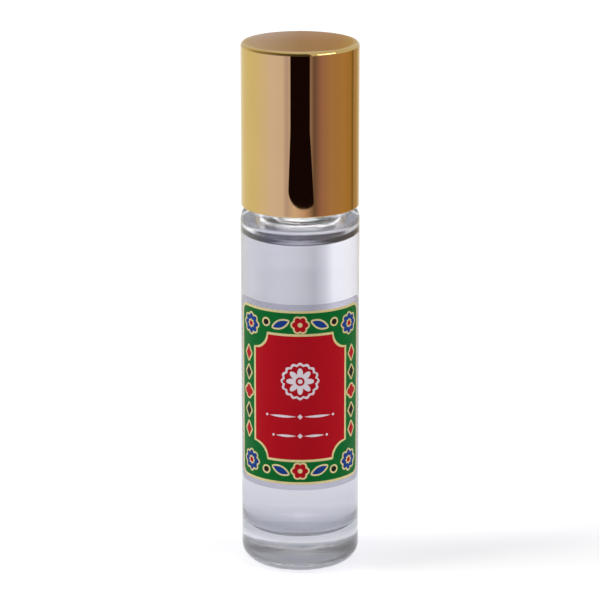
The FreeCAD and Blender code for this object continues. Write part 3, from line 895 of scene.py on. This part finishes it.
def front_card():
    """Upright dark card round the front, whose own light paints reflections: the cap's top edge mirrors it as
    a fine line that fades to the left.

    It fades upwards too, and its low bronze band is what the cap's top mirrors from behind.
    """
    heights = np.array([0.0, 0.28, 0.33, 0.5, 0.58, 2.6, 3.4, 4.4])
    azimuth, rise = np.meshgrid(np.linspace(-130, 22, 77), heights)
    level = np.interp(azimuth, (-130, -100, -60, -35, -15), (0.9, 0.45, 0.25, 0.1, 0.02))
    level = level + (0.9 - level) * np.interp(rise, (2.6, 4.4), (0.0, 1.0))
    level = np.maximum(level, BRONZE * np.interp(rise, heights[1:5], (0, 1, 1, 0)))
    card("front_card", around(FRONT_RADIUS, azimuth, rise), level[..., None] * np.array(FRONT_TINT))


def grey_card():
    """Card under and round the bottle, whose own light paints the glass's shading: the glass shows it, dark
    below and grey with a bright band above.

    It goes over from its near colours to those by azimuth, and to white at its far edge.
    """
    radii = np.array([0, 12, 16, 20, 25, 30, 40, 60, 100, 140, 240, 360, 500]) * MM
    radius, azimuth = np.meshgrid(radii, np.linspace(0, 360, 241), indexing="ij")
    far = np.interp(radius, (60 * MM, 130 * MM), (0, 1))[..., None]
    glow = blended(radius, GREY_OUTWARDS) * (1 - far) + blended(azimuth, GREY_BY_AZIMUTH) * far
    white = np.interp(radius, (240 * MM, 500 * MM), (0, 1))[..., None]
    card("grey_card", around(radius, azimuth, CARD_HEIGHT), glow * (1 - white) + white, True)


def lamp(name, azimuth, elevation, distance, width, height, power, mirrored):
    """A softbox turned to the bottle, from an azimuth and an elevation in degrees."""
    light = bpy.data.lights.new(name, "AREA")
    light.shape = "RECTANGLE"
    light.size = width
    light.size_y = height
    light.energy = power
    made = bpy.data.objects.new(name, light)
    side, rise = math.radians(azimuth), math.radians(elevation)
    away = Vector((math.cos(rise) * math.sin(side), -math.cos(rise) * math.cos(side), math.sin(rise)))
    made.location = away * distance
    made.rotation_euler = (-away).to_track_quat("-Z", "Y").to_euler()
    made.visible_camera = False
    made.visible_glossy = mirrored
    made.visible_transmission = False
    bpy.context.scene.collection.objects.link(made)


def neck_light():
    """The light that glass and oil lead up into the neck, which the straight shadow rays leave out."""
    light = bpy.data.lights.new("neck_light", "POINT")
    light.energy = NECK_LIGHT_POWER
    light.shadow_soft_size = NECK_LIGHT_SIZE
    made = bpy.data.objects.new("neck_light", light)
    made.location.z = NECK_LIGHT_HEIGHT
    made.visible_camera = False
    made.visible_glossy = False
    made.visible_transmission = False
    bpy.context.scene.collection.objects.link(made)


def studio_world(ambient):
    """White for camera, metal and glass, and a soft grey as light on matt surfaces."""
    world = bpy.data.worlds.new("studio")
    bpy.context.scene.world = world
    world.use_nodes = True
    tree = world.node_tree
    tree.nodes.clear()
    strength = add(tree, "ShaderNodeMapRange", {"Value": seen_share(tree), "To Min": ambient, "To Max": 1.0})
    sky = add(tree, "ShaderNodeBackground", {"Strength": strength})
    add(tree, "ShaderNodeOutputWorld", {"Surface": sky})


def studio_camera(stage):
    """The camera, on the front side, looking down at the bottle's middle."""
    view = bpy.data.cameras.new("camera")
    view.lens = stage.lens
    view.clip_start = 10 * MM
    made = bpy.data.objects.new("camera", view)
    target = Vector((stage.aim_side, 0, stage.aim_height))
    back = Vector((0, -math.cos(stage.elevation), math.sin(stage.elevation)))
    made.location = target + stage.distance * back
    made.rotation_euler = (-back).to_track_quat("-Z", "Y").to_euler()
    bpy.context.scene.collection.objects.link(made)
    bpy.context.scene.camera = made


# Operators

class BOTTLE_OT_glass(bpy.types.Operator):
    """Build the moulded glass"""
    bl_idname = "bottle.glass"
    bl_label = "Glass"

    def execute(self, context):
        scene = context.scene
        finish = moulded_glass(scene.bottle_colours.glass, scene.bottle_glass)
        rings = glass_rings(scene.bottle_glass)
        piece("moulded_glass", [rings], finish, "bottle", "clear_glass", "glass_bottle")
        return {"FINISHED"}


class BOTTLE_OT_oil(bpy.types.Operator):
    """Build the fill with its meniscus"""
    bl_idname = "bottle.oil"
    bl_label = "Oil"

    def execute(self, context):
        scene = context.scene
        finish = clear_oil(scene.bottle_colours.oil)
        rings = oil_rings(scene.bottle_glass, scene.bottle_oil)
        piece("oil_fill", [rings], finish, "bottle", "clear_oil", "fragrance_oil")
        return {"FINISHED"}


class BOTTLE_OT_label(bpy.types.Operator):
    """Build the film and its printed layers"""
    bl_idname = "bottle.label"
    bl_label = "Label"

    def execute(self, context):
        label, colours = context.scene.bottle_label, context.scene.bottle_colours
        rows, count = FILM_GRID
        outline = even(rectangle(label.width, label.height, label.corner), count)
        film = slab(label, outline, np.zeros(2), -label.film, 0.0, rows)
        piece("label_film", [film], label_film(colours.film), "bottle", "label_film", "front_label")
        for ink, shapes in label_print(label).items():
            tint = getattr(colours, ink)
            finish = metallic_ink(tint) if ink == "gold_ink" else printed_ink(ink, tint)
            piece("label_" + ink, shapes, finish, "bottle", "label_film")
        return {"FINISHED"}


class BOTTLE_OT_cap(bpy.types.Operator):
    """Build the gold shell and dress the inner cap and its pad"""
    bl_idname = "bottle.cap"
    bl_label = "Cap"

    def execute(self, context):
        cap, colours = context.scene.bottle_cap, context.scene.bottle_colours
        finish = anodised_gold(colours.gold)
        piece("gold_cap", [cap_rings(cap)], finish, "cap", "gold_aluminium", "cap_shell")
        dress("cap_liner", moulded_polymer("moulded_polypropylene", colours.polypropylene, 0.4, 0.3))
        dress("cap_pad", foamed_pad(colours.foam))
        return {"FINISHED"}


class BOTTLE_OT_roller(bpy.types.Operator):
    """Dress the roller housing and its ball"""
    bl_idname = "bottle.roller"
    bl_label = "Roller"

    def execute(self, context):
        colours = context.scene.bottle_colours
        dress("roller_housing", moulded_polymer("moulded_polyethylene", colours.polyethylene, 0.34, 0.6))
        dress("roller_ball", polished_steel(colours.steel))
        return {"FINISHED"}


class BOTTLE_OT_stage(bpy.types.Operator):
    """Set the floor, the cards, the lamps and the camera"""
    bl_idname = "bottle.stage"
    bl_label = "Stage"

    def execute(self, context):
        stage, colours = context.scene.bottle_stage, context.scene.bottle_colours
        across, back = np.meshgrid([-FLOOR_REACH, FLOOR_REACH], [-FLOOR_REACH, FLOOR_REACH])
        corners = np.stack([across, back, np.full_like(across, FLOOR_HEIGHT)], axis=-1)
        open_sheet("floor", corners, studio_floor(colours.floor, stage.floor_lift))
        for softbox in LAMPS:
            lamp(*softbox)
        neck_light()
        dark_card()
        reflection_ring_card()
        grey_card()
        back_card()
        shade_card()
        front_card()
        studio_world(stage.ambient)
        studio_camera(stage)
        context.scene.view_settings.view_transform = "Standard"
        return {"FINISHED"}


class BOTTLE_PT_pieces(bpy.types.Panel):
    """Lists the pieces and their sizes"""
    bl_label = "Roll-on bottle"
    bl_idname = "BOTTLE_PT_pieces"
    bl_space_type = "VIEW_3D"
    bl_region_type = "UI"
    bl_category = "Bottle"

    def draw(self, context):
        for step in STEPS:
            self.layout.operator(step.bl_idname)
        for group, kind in GROUPS.items():
            box = self.layout.box()
            box.label(text=kind.__doc__)
            for name in kind.__annotations__:
                box.prop(getattr(context.scene, group), name)


STEPS = (BOTTLE_OT_stage, BOTTLE_OT_glass, BOTTLE_OT_oil, BOTTLE_OT_label, BOTTLE_OT_cap, BOTTLE_OT_roller)


def register():
    """Makes the sizes, the operators and the panel known to Blender."""
    for kind in (*GROUPS.values(), *STEPS, BOTTLE_PT_pieces):
        bpy.utils.register_class(kind)
    for group, kind in GROUPS.items():
        setattr(bpy.types.Scene, group, bpy.props.PointerProperty(type=kind))


def unregister():
    """Takes them out again."""
    for group in GROUPS:
        delattr(bpy.types.Scene, group)
    for kind in (BOTTLE_PT_pieces, *STEPS, *GROUPS.values()):
        bpy.utils.unregister_class(kind)


def main():
    """Builds the stage and every piece."""
    register()
    bpy.ops.bottle.stage()
    bpy.ops.bottle.glass()
    bpy.ops.bottle.oil()
    bpy.ops.bottle.label()
    bpy.ops.bottle.cap()
    bpy.ops.bottle.roller()


if __name__ == "__main__":
    main()
